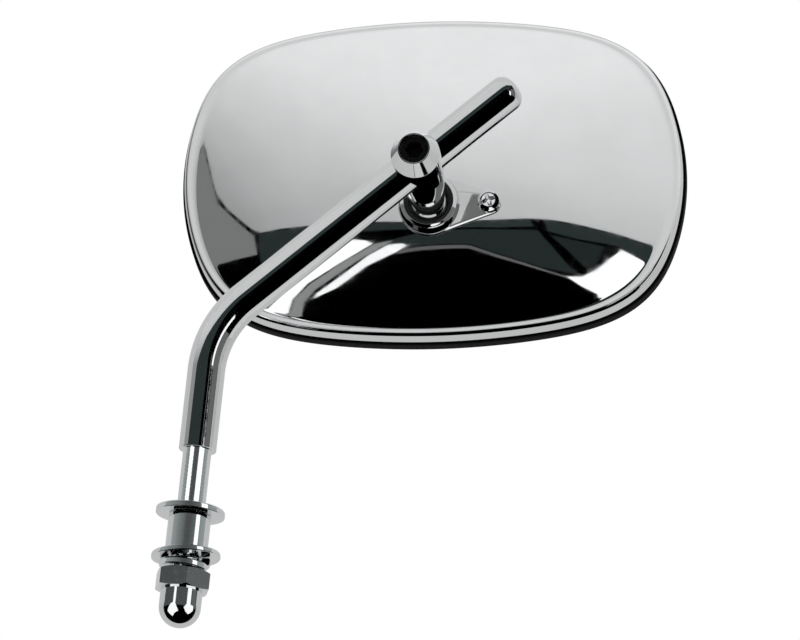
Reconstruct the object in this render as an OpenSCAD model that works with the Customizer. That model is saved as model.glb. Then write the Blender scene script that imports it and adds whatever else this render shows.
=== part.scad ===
// Motorcycle mirror with a bent rod stem, a sliding clamp post and a ball-jointed head.
// Millimetres. The origin is the centre of the stem's shoulder face, +Z runs up the stem,
// +X points to the side the arm leans to, and the mirror's glass faces +Y.

/* [Stem] */
// Diameter of the bent rod
rod_d = 9.525; // [8:0.005:11]
// Height from the shoulder to the corner of the bend
lower_length = 32.5; // [28:0.5:60]
// Length from the corner of the bend to the upper tip
arm_length = 99; // [88:0.1:130]
// Angle between the arm and the lower stem
bend_angle = 45.2; // [30:0.1:60]
// Centre-line radius of the bend
bend_radius = 27; // [20:0.5:40]
// Rounding radius of the upper tip
tip_round = 3.4; // [1:0.1:3.8]
// Distance along the arm from the corner to the post
post_station = 67.2; // [45:0.1:78]

/* [Stud] */
// Diameter of the stud below the shoulder
stud_d = 7.2; // [6:0.05:7.8]
// Bare length of stud between the shoulder and the upper washer
grip_length = 15.5; // [10:0.5:30]
// Chamfer at the stud's end
stud_chamfer = 0.8; // [0.2:0.1:1.5]

/* [Stud hardware] */
// Outer diameter of the plain washers
washer_d = 17.5; // [15:0.1:20]
// Radial gap between the stud and the plain washers
washer_gap = 0.65; // [0.4:0.05:0.9]
// Thickness of the upper washer
upper_washer_t = 1.6; // [1:0.1:2.5]
// Thickness of the lower washer
lower_washer_t = 1.35; // [1:0.05:2.5]
// Lean of the lower washer on the sprung lock washer
lower_washer_lean = 5; // [0:0.5:6]
// Outer diameter of the spacer sleeve
sleeve_d = 10.8; // [9.5:0.1:12]
// Length of the spacer sleeve
sleeve_length = 9.5; // [6:0.5:20]
// Radial gap between the stud and the spacer sleeve
sleeve_gap = 0.3; // [0.1:0.05:0.5]
// Outer diameter of the split lock washer
lock_washer_d = 12.9; // [12:0.1:14]
// Radial width of the lock washer's wire
lock_wire_w = 2.3; // [1.5:0.1:2.4]
// Thickness of the lock washer's wire
lock_wire_t = 1.9; // [1.2:0.1:2.5]
// Rise of the lock washer from one end to the other
lock_rise = 2; // [1:0.1:2.5]
// Width of the acorn nut across its flats
nut_af = 12.7; // [11.5:0.1:15]
// Height of the acorn nut's hexagon
nut_hex_h = 5; // [3:0.5:8]
// Diameter of the acorn nut's dome
nut_dome_d = 10.7; // [10:0.1:11.4]
// Straight height of the dome below the hexagon
nut_dome_straight = 4.2; // [2:0.1:8]
// Radial gap between the stud and the nut's bore
nut_gap = 0.05; // [0.02:0.01:0.1]

/* [Post] */
// Diameter of the post's clamp head
post_d = 12.5; // [11.8:0.1:15]
// Distance from the arm's axis to the top of the clamp head
post_above = 13.1; // [11:0.1:16]
// Axial depth of the clamp head's cone
post_cone_depth = 5; // [2:0.1:6]
// Wall left around the set screw at the top of the cone
post_top_wall = 0.35; // [0.2:0.05:0.8]
// Distance from the arm's axis to the start of the neck's taper
post_neck_start = 6; // [5.8:0.1:12]
// Diameter of the neck where it meets the ball
neck_d = 8.3; // [6.5:0.1:8.6]
// Diameter of the ball
ball_d = 12; // [11.5:0.1:13]
// Distance from the arm's axis to the centre of the ball
ball_depth = 35.7; // [30:0.1:45]
// Radial running gap of the arm in the post
rod_fit = 0.05; // [0.01:0.01:0.1]

/* [Set screw] */
// Diameter of the set screw
set_screw_d = 7.4; // [6:0.1:8]
// Radial gap between the set screw and the post
set_screw_gap = 0.05; // [0.02:0.01:0.1]
// Depth of the set screw below the top of the clamp head
set_screw_recess = 1.2; // [0.2:0.1:2.5]
// Width across flats of the set screw's socket
socket_af = 4; // [3:0.1:5]
// Depth of the set screw's socket
socket_depth = 3.6; // [2:0.1:5]

/* [Ball joint] */
// Radial gap between the ball and its seats
ball_gap = 0.1; // [0.02:0.01:0.1]
// Radial thickness of the two ball seats
seat_t = 1.2; // [0.8:0.05:1.5]
// Radial gap between the seats and the socket around them
socket_gap = 0.1; // [0.02:0.01:0.1]
// Largest swing of the head in each direction
swing = 15; // [8:0.5:15]
// Radial thickness of the socket cup
cup_t = 1; // [0.6:0.1:1.4]
// Depth of the cup's open bottom below the ball's centre
cup_depth = 6.9; // [6.5:0.1:7]

/* [Swivel cover] */
// Height of the teardrop cover above the head's dome
cover_rise = 2.5; // [2.2:0.1:3]
// Rise of the collar's lip above the teardrop
collar_rise = 0.8; // [0.5:0.1:1.2]
// Outer diameter of the collar's lip
collar_d = 14.6; // [14.2:0.1:15.6]
// Diameter of the teardrop's big end
cover_big_d = 16.8; // [16.6:0.1:20]
// Diameter of the teardrop's small end
cover_small_d = 6.4; // [6:0.1:9]
// Distance from the post's axis to the clamp screw
cover_reach = 15.2; // [15:0.1:22]

/* [Clamp screw] */
// Diameter of the clamp screw's shank
clamp_screw_d = 3; // [2.5:0.1:3.2]
// Diameter of the clamp screw's head
clamp_head_d = 5.7; // [5:0.1:6]
// Height of the clamp screw's head
clamp_head_h = 2.1; // [1.5:0.1:2.6]
// Width of one slot of the cross recess
cross_w = 0.9; // [0.6:0.1:1.2]
// Length of one slot of the cross recess
cross_l = 3.4; // [2.5:0.1:4]
// Depth of the cross recess
cross_depth = 1.3; // [0.8:0.1:1.4]
// Radial gap around the clamp screw in its holes
clamp_hole_gap = 0.2; // [0.1:0.05:0.4]
// Width across flats of the clamp nut
clamp_nut_af = 5.5; // [5:0.1:6.5]
// Height of the clamp nut
clamp_nut_h = 2.4; // [1.8:0.1:3]
// Thickness of the clamp screw's lock washer
clamp_washer_t = 0.8; // [0.5:0.1:1]
// Outer diameter of the clamp screw's lock washer
clamp_washer_d = 5.6; // [5:0.1:6.5]
// Length of screw that stands out of the clamp nut
clamp_screw_stub = 1; // [0.5:0.1:1.4]

/* [Clamp plate] */
// Thickness of the clamp plate
clamp_plate_t = 1.2; // [0.8:0.1:1.5]
// Width of the clamp plate
clamp_plate_w = 12; // [10:0.5:16]
// Distance from the post's axis to the plate's bent end
fulcrum_reach = 17.5; // [15:0.5:22]
// Diameter of the hole under the cup
cup_hole_d = 6; // [5:0.1:6.4]

/* [Mirror head] */
// Length of the dome's outline
dome_length = 122.2; // [110:0.2:150]
// Height of the dome's outline
dome_height = 79.9; // [72:0.2:100]
// Rise of the dome above its rim
dome_rise = 11; // [9:0.5:14]
// Squareness of the outline along its length, 2 is an ellipse
long_power = 4.16; // [2.4:0.02:5]
// Squareness of the outline along its height, 2 is an ellipse
short_power = 3.67; // [2.4:0.01:5]
// Share of the outline's reach that its corners are drawn in by
corner_trim = 0.061; // [0:0.001:0.08]
// Width of the flat rim at the two ends
rim_end_w = 1.8; // [1.5:0.05:4]
// Width of the flat rim along the top and bottom
rim_side_w = 1.4; // [1.3:0.05:4]
// Radius of the rim's rolled edge
rim_round = 0.6; // [0.5:0.1:1.2]
// Depth of the side wall from the rim's face to its free edge
wall_depth = 7; // [5:0.1:10]
// Outward lean of the side wall over its depth
wall_draft = 0.5; // [0:0.1:1]
// Thickness of the pressed sheet
sheet_t = 0.9; // [0.6:0.05:1.1]
// Distance from the post's axis up to the head's centre
centre_above_post = 10.2; // [0:0.1:14]
// Turn of the head in its own plane
head_turn = 6.3; // [0:0.1:12]

/* [Glass] */
// Thickness of the mirror glass
glass_t = 2.5; // [2:0.1:3]
// Radius of the convex glass
glass_radius = 1250; // [900:10:2500]
// Thickness of the pad behind the glass
pad_t = 2; // [1:0.1:2.4]
// Distance from the head's edge to the pad's edge
pad_inset = 5; // [4:0.5:10]
// Height of the rubber gasket beyond the side wall
gasket_h = 3.3; // [3:0.1:4.5]
// Cover of the gasket's lip over the glass
gasket_lip = 1.9; // [1.2:0.1:3]
// Gap between the gasket and the parts it holds
gasket_gap = 0.05; // [0.02:0.01:0.1]
// Height of the glass's middle above the gasket's front
glass_proud = 0.2; // [0:0.1:0.5]

/* [Hidden] */

// Colours
chrome = [0.78, 0.79, 0.8];
zinc = [0.66, 0.67, 0.66];
nylon = [0.12, 0.12, 0.12];
rubber = [0.06, 0.06, 0.06];
mirror = [0.62, 0.68, 0.72];
felt = [0.25, 0.25, 0.24];

// Small gap that keeps faces of separate pieces apart
seat_clear = 0.02;
// Overlap that joins shapes of one piece, and overcut of a hole
bite = 0.5;
// Facets of the true round shapes
fine = 96;

// Heights along the stud, from the shoulder down
upper_washer_z = -grip_length;
sleeve_z = upper_washer_z - upper_washer_t;
sleeve_end_z = sleeve_z - sleeve_length;
lower_washer_z = sleeve_end_z - seat_clear - sleeve_d / 2 * tan(lower_washer_lean);
lock_top_z = lower_washer_z - lower_washer_t / cos(lower_washer_lean)
    + (lock_washer_d / 2 - lock_wire_w) * tan(lower_washer_lean) - seat_clear;
nut_z = lock_top_z - lock_wire_t - lock_rise - seat_clear;
nut_dome_z = nut_z - nut_hex_h;
nut_tip_z = nut_dome_z - nut_dome_straight - nut_dome_d / 2;
nut_wall = 1.6;
nut_bore_end_z = nut_tip_z + 2 * nut_wall;
stud_end_z = nut_bore_end_z + 0.6;
nut_turn = -16;
nut_corner_d = nut_af / cos(30);
nut_bevel = 25;

// Split lock washer
lock_turns = 345;
lock_steps = 46;
lock_start = -8;

// Post, measured along its own axis from the arm's axis
set_screw_r = set_screw_d / 2;
set_screw_hole_r = set_screw_r + set_screw_gap;
rod_hole_r = rod_d / 2 + rod_fit;
set_screw_top = post_above - set_screw_recess;
set_screw_point = 0.6;
ball_r = ball_d / 2;
neck_r = neck_d / 2;
neck_to_ball = sqrt(ball_r * ball_r - neck_r * neck_r);

// Ball joint, as radii and heights about the ball's centre
seat_in_r = ball_r + ball_gap;
seat_out_r = seat_in_r + seat_t;
socket_r = seat_out_r + socket_gap;
opening_angle = asin(neck_r / ball_r) + swing + 1.7;
seat_top = seat_in_r * cos(opening_angle);
seat_meet = 1.2;
seat_swung = seat_meet * cos(swing) - seat_out_r * sin(swing);
lower_seat_top = seat_swung - 0.3;
lower_seat_bottom = -5.6;

// Head, measured along the post's axis about the arm's axis
dome_half_l = dome_length / 2;
dome_half_h = dome_height / 2;
post_share = centre_above_post / dome_half_h;
dome_at_post = -ball_depth + 0.4;
rim_z = dome_at_post - dome_rise * (1 - post_share * post_share);
wall_end_z = rim_z - wall_depth;
gasket_front_z = wall_end_z - gasket_h;
cover_top_z = dome_at_post + cover_rise;
shell_under_z = dome_at_post - sheet_t;
plate_top_z = -ball_depth - cup_depth;
plate_under_z = plate_top_z - clamp_plate_t;
clamp_nut_top_z = plate_under_z - clamp_washer_t;
clamp_nut_end_z = clamp_nut_top_z - clamp_nut_h;
clamp_hole_r = clamp_screw_d / 2 + clamp_hole_gap;

// Ball that the cover's underside and the plate's bent end follow
dome_slope = 2 * dome_rise * centre_above_post / (dome_half_h * dome_half_h);
dome_lean = atan(dome_slope);
dome_flatness = 1.22;
dome_ball_r = dome_flatness * dome_half_l * dome_half_l / (2 * dome_rise);
under_gap = 0.35;

// Grid of the pressed shell
around = 72;
dome_rings = 14;
corner_steps = 4;

// Glass, as heights of its curved faces at the middle
glass_front_z = gasket_front_z - glass_proud;
glass_back_z = glass_front_z + glass_t;
gasket_out = 0.3;
glass_inset = 1.9;
gasket_wing = 1.2;
gasket_back_t = 0.8;

// Arm direction, and where the post crosses it
arm_dir = [sin(bend_angle), 0, cos(bend_angle)];
corner = [0, 0, lower_length];
crossing = corner + post_station * arm_dir;
bend_reach = bend_radius * tan(bend_angle / 2);
bend_thinning = 0.03;

// Puts its children in the post's frame: local z runs out of the back of the head
module at_post() {
    translate(crossing)
        rotate([90, 0, 0])
            children();
}

// The post's frame, turned with the head
module at_head() {
    at_post()
        rotate([0, 0, head_turn])
            children();
}

// Round ring or tube standing on z
module tube(outer_d, inner_d, height) {
    difference() {
        cylinder(d = outer_d, h = height, $fn = fine);
        translate([0, 0, -bite])
            cylinder(d = inner_d, h = height + 2 * bite, $fn = fine);
    }
}

// Part of a ball's shell between two heights
module ball_zone(outer_r, inner_r, low, high) {
    rotate_extrude($fn = fine)
        intersection() {
            difference() {
                circle(r = outer_r, $fn = 2 * fine);
                circle(r = inner_r, $fn = 2 * fine);
            }
            translate([0, low])
                square([outer_r + bite, high - low]);
        }
}

// How far a point in direction (c, s) moves out to reach the outline of powers n and m
function stretch(c, s, n, m, k = 1, steps = 7) =
    steps == 0 ? k :
    stretch(c, s, n, m,
        k - (pow(k * c, n) + pow(k * s, m) - 1) * k / (n * pow(k * c, n) + m * pow(k * s, m)),
        steps - 1);

// Points of a rounded-rectangle outline with half sizes a and b, its corners drawn in by a share
function outline(a, b, n = long_power, m = short_power, trim = corner_trim) = [
    for (i = [0 : around - 1])
        let (t = 360 * i / around,
            k = stretch(abs(cos(t)), abs(sin(t)), n, m) * (1 - trim * (1 - cos(4 * t)) / 2))
            [a * k * cos(t), b * k * sin(t)]
];

// The head's outline, moved outward from the wall by a distance
function edge_outline(out) = outline(
    dome_half_l + rim_end_w + rim_round + out,
    dome_half_h + rim_side_w + rim_round + out);

// An outline lifted to a height
function lifted(points, z) = [for (p = points) [p[0], p[1], z]];

// Rings of the dome from near its middle to its outline, at a height above the rim's face
function dome_ring(share, drop) = lifted(
    outline(dome_half_l * share, dome_half_h * share,
        2 + (long_power - 2) * share * share,
        2 + (short_power - 2) * share * share,
        corner_trim * share * share),
    rim_z + dome_rise * (1 - share * share) + drop);

function dome_grid(drop) = [for (i = [1 : dome_rings]) dome_ring(i / dome_rings, drop)];

// Rings of the rolled edge and the side wall, with the sheet's thickness taken off
function edge_rings(inside) = concat(
    [for (i = [0 : corner_steps])
        let (t = 90 * i / corner_steps, r = rim_round - (inside > 0 ? 0.3 : 0))
            lifted(edge_outline(r * sin(t) - r - inside), rim_z - inside - r * (1 - cos(t)))],
    [lifted(edge_outline(wall_draft - inside), wall_end_z)]);

// Closed solid through rings of equal count, with a middle point at each end
module ring_solid(rings, first, last) {
    count = len(rings);
    points = concat([first], [for (ring = rings) each ring], [last]);
    end = len(points) - 1;
    caps = [for (i = [0 : around - 1])
        let (j = (i + 1) % around)
            each [[0, 1 + i, 1 + j], [end, 1 + (count - 1) * around + j, 1 + (count - 1) * around + i]]];
    sides = [for (r = [0 : count - 2], i = [0 : around - 1])
        let (j = (i + 1) % around, a = 1 + r * around, b = a + around)
            each [[a + i, b + i, b + j], [a + i, b + j, a + j]]];
    polyhedron(points = points, faces = concat(caps, sides), convexity = 6);
}

// Ball that touches the dome's outer face at the post, grown by a distance
module dome_ball(grow) {
    translate([0, 0, dome_at_post])
        rotate([dome_lean, 0, 0])
            translate([0, 0, -dome_ball_r])
                sphere(r = dome_ball_r + grow, $fn = 4 * fine);
}

// Two circles joined along their tangents, the small one at a distance along x
module teardrop(big_r, small_r, reach) {
    lean = asin((big_r - small_r) / reach);
    up = [sin(lean), cos(lean)];
    down = [sin(lean), -cos(lean)];
    near = big_r - seat_clear;
    far = small_r - seat_clear;
    circle(r = big_r, $fn = fine);
    translate([reach, 0])
        circle(r = small_r, $fn = fine);
    polygon([near * up, [reach, 0] + far * up, [reach, 0] + far * down, near * down]);
}

// Bent rod with a reduced stud at its lower end and a rounded upper tip
module stem() {
    color(chrome) {
        translate([0, 0, stud_end_z])
            rotate_extrude($fn = fine)
                polygon([[0, 0], [stud_d / 2 - stud_chamfer, 0], [stud_d / 2, stud_chamfer],
                    [stud_d / 2, -stud_end_z + bite], [0, -stud_end_z + bite]]);
        cylinder(d = rod_d, h = lower_length - bend_reach + bite, $fn = fine);
        translate([bend_radius, 0, lower_length - bend_reach])
            mirror([1, 0, 0])
                rotate([90, 0, 0])
                    rotate_extrude(angle = bend_angle, $fn = 2 * fine)
                        translate([bend_radius, 0])
                            circle(d = rod_d - bend_thinning, $fn = fine);
        translate(corner)
            rotate([0, bend_angle, 0]) {
                translate([0, 0, bend_reach - bite])
                    cylinder(d = rod_d, h = arm_length - bend_reach - tip_round + bite, $fn = fine);
                translate([0, 0, arm_length - tip_round])
                    rounded_tip();
            }
    }
}

// Rounded end of the rod, its edge rolled with the tip's radius
module rounded_tip() {
    flat_r = rod_d / 2 - tip_round;
    rotate_extrude($fn = fine) {
        translate([0, -bite])
            square([rod_d / 2, bite]);
        square([flat_r, tip_round]);
        intersection() {
            translate([flat_r, 0])
                circle(r = tip_round, $fn = fine);
            square(rod_d / 2);
        }
    }
}

module upper_washer() {
    color(chrome)
        translate([0, 0, upper_washer_z - upper_washer_t])
            tube(washer_d, stud_d + 2 * washer_gap, upper_washer_t);
}

module spacer_sleeve() {
    color(chrome)
        translate([0, 0, sleeve_end_z])
            tube(sleeve_d, stud_d + 2 * sleeve_gap, sleeve_length - seat_clear);
}

// The sprung lock washer pushes this washer's +X side up against the sleeve
module lower_washer() {
    color(chrome)
        translate([0, 0, lower_washer_z])
            rotate([0, -lower_washer_lean, 0])
                translate([0, 0, -lower_washer_t])
                    tube(washer_d, stud_d + 2 * washer_gap, lower_washer_t);
}

// One turn of square wire that falls from its upper end to its lower end
module lock_washer() {
    out_r = lock_washer_d / 2;
    in_r = out_r - lock_wire_w;
    points = [for (i = [0 : lock_steps])
        let (t = lock_start + lock_turns * i / lock_steps, top = lock_top_z - lock_rise * i / lock_steps)
            each [[in_r * cos(t), in_r * sin(t), top], [out_r * cos(t), out_r * sin(t), top],
                [out_r * cos(t), out_r * sin(t), top - lock_wire_t],
                [in_r * cos(t), in_r * sin(t), top - lock_wire_t]]];
    sides = [for (i = [0 : lock_steps - 1], k = [0 : 3])
        let (a = 4 * i + k, b = 4 * i + (k + 1) % 4)
            each [[a, b, b + 4], [a, b + 4, a + 4]]];
    last = 4 * lock_steps;
    ends = [[3, 2, 1, 0], [last, last + 1, last + 2, last + 3]];
    color(zinc)
        polyhedron(points = points, faces = concat(sides, ends), convexity = 4);
}

// Hexagon nut closed by a dome, its corners bevelled on both faces
module acorn_nut() {
    corner_r = nut_corner_d / 2;
    flat_r = nut_af / 2;
    bevel_h = (corner_r - flat_r) * tan(nut_bevel);
    color(chrome)
        difference() {
            union() {
                intersection() {
                    translate([0, 0, nut_dome_z])
                        rotate([0, 0, nut_turn])
                            cylinder(r = corner_r, h = nut_hex_h, $fn = 6);
                    translate([0, 0, nut_dome_z])
                        rotate_extrude($fn = fine)
                            polygon([[0, 0], [flat_r, 0], [corner_r + 0.01, bevel_h],
                                [corner_r + 0.01, nut_hex_h - bevel_h], [flat_r, nut_hex_h],
                                [0, nut_hex_h]]);
                }
                translate([0, 0, nut_dome_z - nut_dome_straight])
                    rotate_extrude($fn = fine) {
                        square([nut_dome_d / 2, nut_dome_straight + bite]);
                        intersection() {
                            circle(d = nut_dome_d, $fn = fine);
                            translate([0, -nut_dome_d / 2])
                                square(nut_dome_d / 2);
                        }
                    }
            }
            translate([0, 0, nut_bore_end_z])
                cylinder(d = stud_d + 2 * nut_gap, h = nut_z - nut_bore_end_z + bite, $fn = fine);
        }
}

// Turned post: clamp head with a cone, tapered neck and ball
module post() {
    top_r = set_screw_hole_r + post_top_wall;
    color(chrome)
        at_post()
            difference() {
                union() {
                    rotate_extrude($fn = fine)
                        polygon([[0, post_above], [top_r, post_above],
                            [post_d / 2, post_above - post_cone_depth],
                            [post_d / 2, -post_neck_start], [neck_r, -ball_depth + neck_to_ball],
                            [neck_r, -ball_depth + neck_to_ball - bite], [0, -ball_depth]]);
                    translate([0, 0, -ball_depth])
                        sphere(r = ball_r, $fn = fine);
                }
                rotate([0, 0, 90 - bend_angle])
                    rotate([0, 90, 0])
                        cylinder(r = rod_hole_r, h = post_d + 4 * bite, center = true, $fn = fine);
                cylinder(r = set_screw_hole_r, h = post_above + bite, $fn = fine);
            }
}

// Socket-head set screw that bears on the arm
module set_screw() {
    bottom = rod_hole_r + seat_clear;
    color([0.08, 0.08, 0.08])
        at_post()
            difference() {
                translate([0, 0, bottom])
                    rotate_extrude($fn = fine)
                        polygon([[0, 0], [set_screw_r - set_screw_point, 0],
                            [set_screw_r, set_screw_point], [set_screw_r, set_screw_top - bottom],
                            [0, set_screw_top - bottom]]);
                translate([0, 0, set_screw_top - socket_depth])
                    cylinder(d = socket_af / cos(30), h = socket_depth + bite, $fn = 6);
            }
}

// Nylon ring between the ball and the swivel cover
module upper_ball_seat() {
    color(nylon)
        at_head()
            translate([0, 0, -ball_depth])
                ball_zone(seat_out_r, seat_in_r, seat_meet, seat_top);
}

// Nylon cup between the ball and the socket cup
module lower_ball_seat() {
    color(nylon)
        at_head()
            translate([0, 0, -ball_depth])
                ball_zone(seat_out_r, seat_in_r, lower_seat_bottom, lower_seat_top);
}

// Teardrop cover with a collar that holds the ball down from outside
module swivel_cover() {
    lip_z = cover_top_z + collar_rise;
    collar_r = collar_d / 2;
    color(chrome)
        at_head()
            difference() {
                union() {
                    translate([0, 0, dome_at_post - dome_rise / 4])
                        linear_extrude(cover_rise + dome_rise / 4)
                            teardrop(cover_big_d / 2, cover_small_d / 2, cover_reach);
                    rotate_extrude($fn = fine) {
                        translate([0, cover_top_z - bite])
                            square([collar_r, bite + collar_rise / 2]);
                        translate([0, cover_top_z])
                            square([collar_r - collar_rise / 2, collar_rise]);
                        translate([collar_r - collar_rise / 2, lip_z - collar_rise / 2])
                            circle(d = collar_rise, $fn = fine);
                    }
                }
                dome_ball(seat_clear);
                translate([0, 0, -ball_depth])
                    rotate_extrude($fn = fine)
                        intersection() {
                            circle(r = socket_r, $fn = 2 * fine);
                            translate([0, -socket_r])
                                square([socket_r, 2 * socket_r]);
                        }
                translate([0, 0, -ball_depth])
                    cylinder(r = socket_r * sin(opening_angle), h = ball_depth, $fn = fine);
                translate([cover_reach, 0, rim_z])
                    cylinder(r = clamp_hole_r, h = dome_rise + cover_rise + bite, $fn = fine);
            }
}

// Pan-head screw with a cross recess that sets the grip on the ball
module clamp_screw() {
    under_z = cover_top_z + seat_clear;
    end_z = clamp_nut_end_z - clamp_screw_stub;
    head_r = clamp_head_d / 2;
    crown_r = (head_r * head_r + clamp_head_h * clamp_head_h / 4) / clamp_head_h;
    color(chrome)
        at_head()
            translate([cover_reach, 0, 0])
                difference() {
                    union() {
                        translate([0, 0, end_z])
                            cylinder(d = clamp_screw_d, h = under_z - end_z + bite, $fn = fine);
                        intersection() {
                            translate([0, 0, under_z])
                                cylinder(r = head_r, h = clamp_head_h, $fn = fine);
                            translate([0, 0, under_z + clamp_head_h - 2 * crown_r])
                                translate([0, 0, crown_r])
                                    sphere(r = crown_r, $fn = fine);
                        }
                    }
                    for (turn = [20, 110])
                        translate([0, 0, under_z + clamp_head_h - cross_depth / 2])
                            rotate([0, 0, turn])
                                cube([cross_l, cross_w, cross_depth + 0.01], center = true);
                }
}

// Steel cup that presses the lower seat against the ball
module socket_cup() {
    color(zinc)
        at_head()
            intersection() {
                translate([0, 0, -ball_depth])
                    ball_zone(socket_r + cup_t, socket_r, -cup_depth,
                        shell_under_z + ball_depth - seat_clear);
                dome_ball(-sheet_t - under_gap);
            }
}

// Steel plate with a bent end, drawn against the cup by the clamp screw
module clamp_plate() {
    plate_end = cover_reach + clamp_plate_w / 2;
    tab_top = dome_at_post;
    color(zinc)
        at_head()
            difference() {
                union() {
                    translate([-fulcrum_reach, -clamp_plate_w / 2, plate_under_z])
                        cube([fulcrum_reach + cover_reach, clamp_plate_w, clamp_plate_t - seat_clear]);
                    translate([cover_reach, 0, plate_under_z])
                        cylinder(d = clamp_plate_w, h = clamp_plate_t - seat_clear, $fn = fine);
                    intersection() {
                        translate([-fulcrum_reach, -clamp_plate_w / 2, plate_under_z])
                            cube([clamp_plate_t, clamp_plate_w, tab_top - plate_under_z]);
                        dome_ball(-sheet_t - under_gap);
                    }
                }
                translate([0, 0, plate_under_z - bite])
                    cylinder(d = cup_hole_d, h = clamp_plate_t + 2 * bite, $fn = fine);
                translate([cover_reach, 0, plate_under_z - bite])
                    cylinder(r = clamp_hole_r, h = clamp_plate_t + 2 * bite, $fn = fine);
            }
}

module clamp_lock_washer() {
    color(zinc)
        at_head()
            translate([cover_reach, 0, clamp_nut_top_z + seat_clear])
                tube(clamp_washer_d, clamp_screw_d + 2 * clamp_hole_gap, clamp_washer_t - 2 * seat_clear);
}

module clamp_nut() {
    color(zinc)
        at_head()
            translate([cover_reach, 0, clamp_nut_end_z])
                difference() {
                    cylinder(d = clamp_nut_af / cos(30), h = clamp_nut_h, $fn = 6);
                    translate([0, 0, -bite])
                        cylinder(d = clamp_screw_d + 2 * nut_gap, h = clamp_nut_h + 2 * bite, $fn = fine);
                }
}

// Pressed shell: domed back, flat rim, rolled edge and side wall, one sheet thick
module back_shell() {
    edge_out = edge_rings(0);
    edge_in = edge_rings(sheet_t);
    grid_out = dome_grid(0);
    grid_in = dome_grid(-sheet_t);
    rings = concat(grid_out, edge_out,
        [for (i = [len(edge_in) - 1 : -1 : 0]) edge_in[i]],
        [for (i = [dome_rings - 1 : -1 : 0]) grid_in[i]]);
    color(chrome)
        at_head()
            difference() {
                translate([0, centre_above_post, 0])
                    ring_solid(rings, [0, 0, rim_z + dome_rise], [0, 0, rim_z + dome_rise - sheet_t]);
                translate([0, 0, rim_z])
                    cylinder(r = socket_r + seat_clear, h = dome_rise + bite, $fn = fine);
                translate([cover_reach, 0, rim_z])
                    cylinder(r = clamp_hole_r, h = dome_rise + bite, $fn = fine);
            }
}

// Slice of the head's outline between two faces curved like the glass
module curved_sheet(inset, front_z, thickness) {
    reach_r = dome_half_l + dome_half_h;
    intersection() {
        translate([0, 0, front_z + glass_radius])
            rotate_extrude($fn = 2 * fine)
                intersection() {
                    difference() {
                        circle(r = glass_radius, $fn = 4000);
                        circle(r = glass_radius - thickness, $fn = 4000);
                    }
                    translate([0, -glass_radius - bite])
                        square([reach_r, glass_radius / 2]);
                }
        translate([0, 0, front_z - bite])
            linear_extrude(thickness + 4 * gasket_h)
                polygon(edge_outline(-inset));
    }
}

module glass_pad() {
    color(felt)
        at_head()
            translate([0, centre_above_post, 0])
                curved_sheet(pad_inset, glass_back_z + seat_clear, pad_t);
}

module mirror_glass() {
    color(mirror)
        at_head()
            translate([0, centre_above_post, 0])
                curved_sheet(glass_inset, glass_front_z, glass_t);
}

// Height that the curved glass falls back at a point of the outline
function fall(p) = (p[0] * p[0] + p[1] * p[1]) / (2 * glass_radius);

// One loop of the gasket, at a distance out from the wall and a height; bent loops follow the glass
function gasket_loop(out, z, bent = false) = [
    for (p = edge_outline(out)) [p[0], p[1], z + (bent ? fall(p) : 0)]];

// Rubber channel around the glass that closes the shell's open edge
module rim_gasket() {
    wall_in = wall_draft - sheet_t - gasket_gap;
    wall_in_top = -sheet_t - gasket_gap;
    channel = -glass_inset + gasket_gap;
    lip = -glass_inset - gasket_lip;
    front = gasket_front_z;
    back_t = gasket_back_t + gasket_gap;
    loops = [
        gasket_loop(wall_draft + gasket_out, wall_end_z - gasket_gap),
        gasket_loop(wall_draft + gasket_out, front + 0.8),
        gasket_loop(wall_draft + gasket_out - 0.3, front + 0.2),
        gasket_loop(wall_draft + gasket_out - 1, front),
        gasket_loop(lip + 0.4, front),
        gasket_loop(lip, glass_front_z - 2 * gasket_gap, true),
        gasket_loop(lip, glass_front_z - gasket_gap, true),
        gasket_loop(channel, glass_front_z - gasket_gap, true),
        gasket_loop(channel, glass_back_z + gasket_gap, true),
        gasket_loop(lip + 0.5, glass_back_z + gasket_gap, true),
        gasket_loop(lip + 0.5, glass_back_z + back_t, true),
        gasket_loop(wall_in_top - 0.4, glass_back_z + back_t + gasket_wing, true),
        gasket_loop(wall_in_top, glass_back_z + back_t, true),
        gasket_loop(wall_in, wall_end_z - gasket_gap)];
    count = len(loops);
    points = [for (loop = loops) each loop];
    faces = [for (r = [0 : count - 1], i = [0 : around - 1])
        let (j = (i + 1) % around, a = r * around, b = ((r + 1) % count) * around)
            each [[a + i, b + i, b + j], [a + i, b + j, a + j]]];
    color(rubber)
        at_head()
            translate([0, centre_above_post, 0])
                polyhedron(points = points, faces = faces, convexity = 8);
}

stem();
upper_washer();
spacer_sleeve();
lower_washer();
lock_washer();
acorn_nut();
post();
set_screw();
upper_ball_seat();
lower_ball_seat();
swivel_cover();
clamp_screw();
socket_cup();
clamp_plate();
clamp_lock_washer();
clamp_nut();
back_shell();
glass_pad();
mirror_glass();
rim_gasket();
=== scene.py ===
"""Looks of the motorcycle mirror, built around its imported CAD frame.

Lengths are in millimetres until a mesh is made. The origin is the centre of the stem's
shoulder face, +Z runs up the stem, and the mirror's glass faces +Y.
"""

import math

import bpy
import numpy as np
from mathutils import Matrix, Vector


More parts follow.
